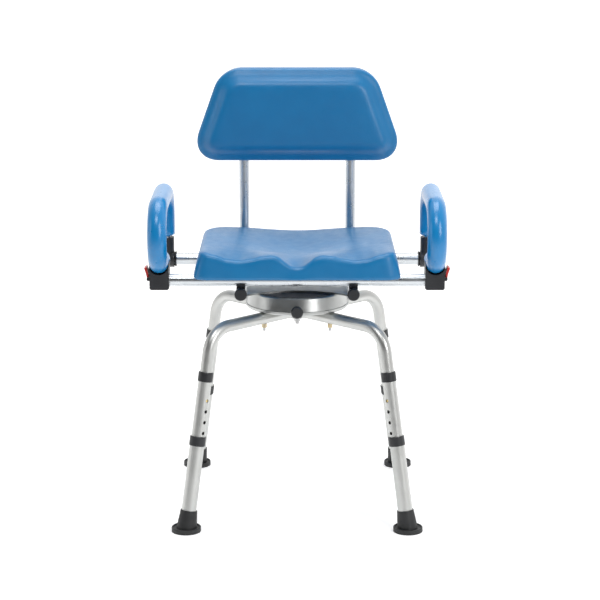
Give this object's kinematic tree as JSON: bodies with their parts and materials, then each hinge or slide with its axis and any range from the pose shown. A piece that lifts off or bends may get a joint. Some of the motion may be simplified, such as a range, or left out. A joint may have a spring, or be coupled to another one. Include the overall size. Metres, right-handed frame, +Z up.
{
  "type": "swivel bath chair",
  "caption": "Swivel bath chair: padded blue seat and back, flip-up padded loop arms, and a telescopic silver tube base with broad rubber feet.",
  "frame": {"origin": "on the floor under the seat's swivel axis, at the middle of the four feet", "axes": "+Z up, the chair faces -Y, +X to the right when seen from in front"},
  "size_m": [0.634, 0.521, 0.916],
  "materials": {
    "leg_metal": "satin",
    "frame_metal": "gloss",
    "collar_plastic": "satin",
    "snap_brass": "satin",
    "rubber_foot": "matte",
    "plate_metal": "satin",
    "bearing_plastic": "matte",
    "bolt_steel": "satin",
    "nut_zinc": "satin",
    "black_plastic": "satin",
    "red_plastic": "satin",
    "seat_foam": "matte",
    "sleeve_foam": "satin"
  },
  "bodies": {
    "base": {"leg_tube_front_left": "leg_metal", "leg_tube_front_right": "leg_metal", "leg_tube_rear_right": "leg_metal", "leg_tube_rear_left": "leg_metal", "base_pan": "plate_metal", "index_ring": "bearing_plastic", "leg_bolts": "bolt_steel", "leg_nuts": "nut_zinc", "pivot_bolt": "bolt_steel", "pivot_nut": "nut_zinc"},
    "turntable": {"swivel_drum": "plate_metal", "drum_cover": "black_plastic", "swivel_hub": "bearing_plastic", "mount_plate": "plate_metal", "seat_rail_left": "frame_metal", "seat_rail_right": "frame_metal", "rail_caps": "black_plastic", "front_cross_tube": "frame_metal", "rear_cross_tube": "frame_metal", "tube_saddles": "black_plastic", "saddle_bolts": "bolt_steel", "seat_pad": "seat_foam", "back_pad": "seat_foam", "bracket_left": "black_plastic", "bracket_right": "black_plastic", "rear_hubs": "black_plastic", "latch_pins": "black_plastic"},
    "lock": {"lock_plunger": "black_plastic"},
    "arm_left": {"arm_tube_left": "frame_metal", "arm_sleeve_left": "sleeve_foam", "arm_pivot_left": "black_plastic"},
    "latch_left": {"latch_left": "red_plastic"},
    "arm_right": {"arm_tube_right": "frame_metal", "arm_sleeve_right": "sleeve_foam", "arm_pivot_right": "black_plastic"},
    "latch_right": {"latch_right": "red_plastic"},
    "button_front_left": {"leg_button_front_left": "snap_brass"},
    "mid_front_left": {"mid_tube_front_left": "leg_metal", "mid_collar_front_left": "collar_plastic"},
    "lower_front_left": {"lower_tube_front_left": "leg_metal", "lower_collar_front_left": "collar_plastic", "boot_front_left": "rubber_foot"},
    "button_front_right": {"leg_button_front_right": "snap_brass"},
    "mid_front_right": {"mid_tube_front_right": "leg_metal", "mid_collar_front_right": "collar_plastic"},
    "lower_front_right": {"lower_tube_front_right": "leg_metal", "lower_collar_front_right": "collar_plastic", "boot_front_right": "rubber_foot"},
    "button_rear_right": {"leg_button_rear_right": "snap_brass"},
    "mid_rear_right": {"mid_tube_rear_right": "leg_metal", "mid_collar_rear_right": "collar_plastic"},
    "lower_rear_right": {"lower_tube_rear_right": "leg_metal", "lower_collar_rear_right": "collar_plastic", "boot_rear_right": "rubber_foot"},
    "button_rear_left": {"leg_button_rear_left": "snap_brass"},
    "mid_rear_left": {"mid_tube_rear_left": "leg_metal", "mid_collar_rear_left": "collar_plastic"},
    "lower_rear_left": {"lower_tube_rear_left": "leg_metal", "lower_collar_rear_left": "collar_plastic", "boot_rear_left": "rubber_foot"}
  },
  "joints": [
    {"name": "seat_swivel", "type": "hinge", "parent": "base", "child": "turntable", "pos_m": [0, 0, 0.45], "axis": [0, 0, 1], "continuous": true},
    {"name": "lock_pull", "type": "slide", "parent": "turntable", "child": "lock", "axis": [0, -1, 0], "range_m": [0, 0.008], "stiffness_N_per_m": 600},
    {"name": "arm_left_flip", "type": "hinge", "parent": "turntable", "child": "arm_left", "pos_m": [-0.2865, 0.11, 0.507], "axis": [-1, 0, 0], "range_deg": [0, 100]},
    {"name": "latch_left_release", "type": "hinge", "parent": "turntable", "child": "latch_left", "pos_m": [-0.3088, -0.11, 0.512], "axis": [0, -1, 0], "range_deg": [0, 15], "stiffness_Nm_per_rad": 0.3},
    {"name": "arm_right_flip", "type": "hinge", "parent": "turntable", "child": "arm_right", "pos_m": [0.2865, 0.11, 0.507], "axis": [-1, 0, 0], "range_deg": [0, 100]},
    {"name": "latch_right_release", "type": "hinge", "parent": "turntable", "child": "latch_right", "pos_m": [0.3088, -0.11, 0.512], "axis": [0, 1, 0], "range_deg": [0, 15], "stiffness_Nm_per_rad": 0.3},
    {"name": "button_front_left_spring", "type": "slide", "parent": "base", "child": "button_front_left", "axis": [0.7071, -0.7071, 0], "range_m": [0, 0.0012], "stiffness_N_per_m": 800},
    {"name": "mid_front_left_slide", "type": "slide", "parent": "base", "child": "mid_front_left", "axis": [0.1268, 0.1268, 0.9838], "range_m": [0, 0.0227]},
    {"name": "lower_front_left_slide", "type": "slide", "parent": "mid_front_left", "child": "lower_front_left", "axis": [0.1268, 0.1268, 0.9838], "range_m": [0, 0.0908]},
    {"name": "button_front_right_spring", "type": "slide", "parent": "base", "child": "button_front_right", "axis": [-0.7071, -0.7071, 0], "range_m": [0, 0.0012], "stiffness_N_per_m": 800},
    {"name": "mid_front_right_slide", "type": "slide", "parent": "base", "child": "mid_front_right", "axis": [-0.1268, 0.1268, 0.9838], "range_m": [0, 0.0227]},
    {"name": "lower_front_right_slide", "type": "slide", "parent": "mid_front_right", "child": "lower_front_right", "axis": [-0.1268, 0.1268, 0.9838], "range_m": [0, 0.0908]},
    {"name": "button_rear_right_spring", "type": "slide", "parent": "base", "child": "button_rear_right", "axis": [-0.7071, 0.7071, 0], "range_m": [0, 0.0012], "stiffness_N_per_m": 800},
    {"name": "mid_rear_right_slide", "type": "slide", "parent": "base", "child": "mid_rear_right", "axis": [-0.1268, -0.1268, 0.9838], "range_m": [0, 0.0227]},
    {"name": "lower_rear_right_slide", "type": "slide", "parent": "mid_rear_right", "child": "lower_rear_right", "axis": [-0.1268, -0.1268, 0.9838], "range_m": [0, 0.0908]},
    {"name": "button_rear_left_spring", "type": "slide", "parent": "base", "child": "button_rear_left", "axis": [0.7071, 0.7071, 0], "range_m": [0, 0.0012], "stiffness_N_per_m": 800},
    {"name": "mid_rear_left_slide", "type": "slide", "parent": "base", "child": "mid_rear_left", "axis": [0.1268, -0.1268, 0.9838], "range_m": [0, 0.0227]},
    {"name": "lower_rear_left_slide", "type": "slide", "parent": "mid_rear_left", "child": "lower_rear_left", "axis": [0.1268, -0.1268, 0.9838], "range_m": [0, 0.0908]}
  ]
}
